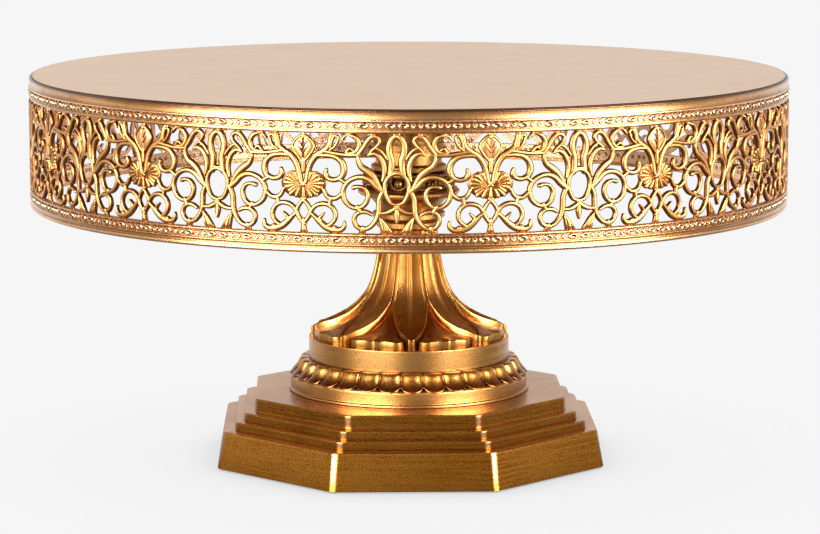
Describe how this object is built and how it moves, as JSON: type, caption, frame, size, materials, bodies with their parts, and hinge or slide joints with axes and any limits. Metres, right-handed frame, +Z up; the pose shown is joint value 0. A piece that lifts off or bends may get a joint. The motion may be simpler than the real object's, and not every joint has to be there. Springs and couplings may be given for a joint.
{
  "type": "pedestal cake stand",
  "caption": "Round cake stand with a pierced scrollwork band, a fluted petal stem and a stepped octagonal plinth; the tray unscrews from the pedestal.",
  "frame": {"origin": "centre of the octagonal plinth on the surface the stand rests on", "axes": "+Z up along the pedestal's axis, -Y square to one flat side of the plinth, towards the viewer"},
  "size_m": [0.2544, 0.2544, 0.1307],
  "materials": {
    "tray_gold": "satin champagne gold plate, finely brushed",
    "filigree_gold": "antique gold plate, darkened in the recesses",
    "stem_gold": "antique gold plate, darkened in the recesses",
    "base_gold": "antique gold plate, brushed",
    "steel": "zinc plated",
    "washer_brass": "plain brass",
    "felt": "felt"
  },
  "bodies": {
    "pedestal": {"felt_pad": "felt", "base_cover": "steel", "plinth": "base_gold", "foot_collar": "base_gold", "gadroon_ring": "base_gold", "drum": "base_gold", "petal_stem": "stem_gold", "neck_bead": "stem_gold", "astragal_ring": "stem_gold", "capital_bell": "stem_gold", "capital_disc": "stem_gold", "egg_ring": "stem_gold", "capital_torus": "stem_gold", "neck_collar": "stem_gold", "tie_rod": "steel", "lower_nut": "steel", "lower_washer": "steel"},
    "washer": {"joint_washer": "washer_brass"},
    "tray": {"tray_boss": "stem_gold", "tray_plate": "tray_gold", "upper_rail": "filigree_gold", "lower_rail": "filigree_gold", "hem_ring": "filigree_gold", "filigree_panel_01": "filigree_gold", "filigree_panel_02": "filigree_gold", "filigree_panel_03": "filigree_gold", "filigree_panel_04": "filigree_gold", "filigree_panel_05": "filigree_gold", "filigree_panel_06": "filigree_gold", "filigree_panel_07": "filigree_gold", "filigree_panel_08": "filigree_gold", "filigree_panel_09": "filigree_gold", "filigree_panel_10": "filigree_gold", "filigree_panel_11": "filigree_gold", "filigree_panel_12": "filigree_gold", "filigree_panel_13": "filigree_gold", "filigree_panel_14": "filigree_gold"}
  },
  "joints": [
    {"name": "tray_turn", "type": "hinge", "parent": "pedestal", "child": "washer", "pos_m": [0, 0, 0.1034], "axis": [0, 0, 1], "range_deg": [0, 2880]},
    {"name": "tray_lift", "type": "slide", "parent": "washer", "child": "tray", "axis": [0, 0, 1], "range_m": [0, 0.0101]}
  ],
  "couplings": [
    {"joint": "tray_lift", "follows": "tray_turn", "m_per_rad": 0.00019894}
  ]
}
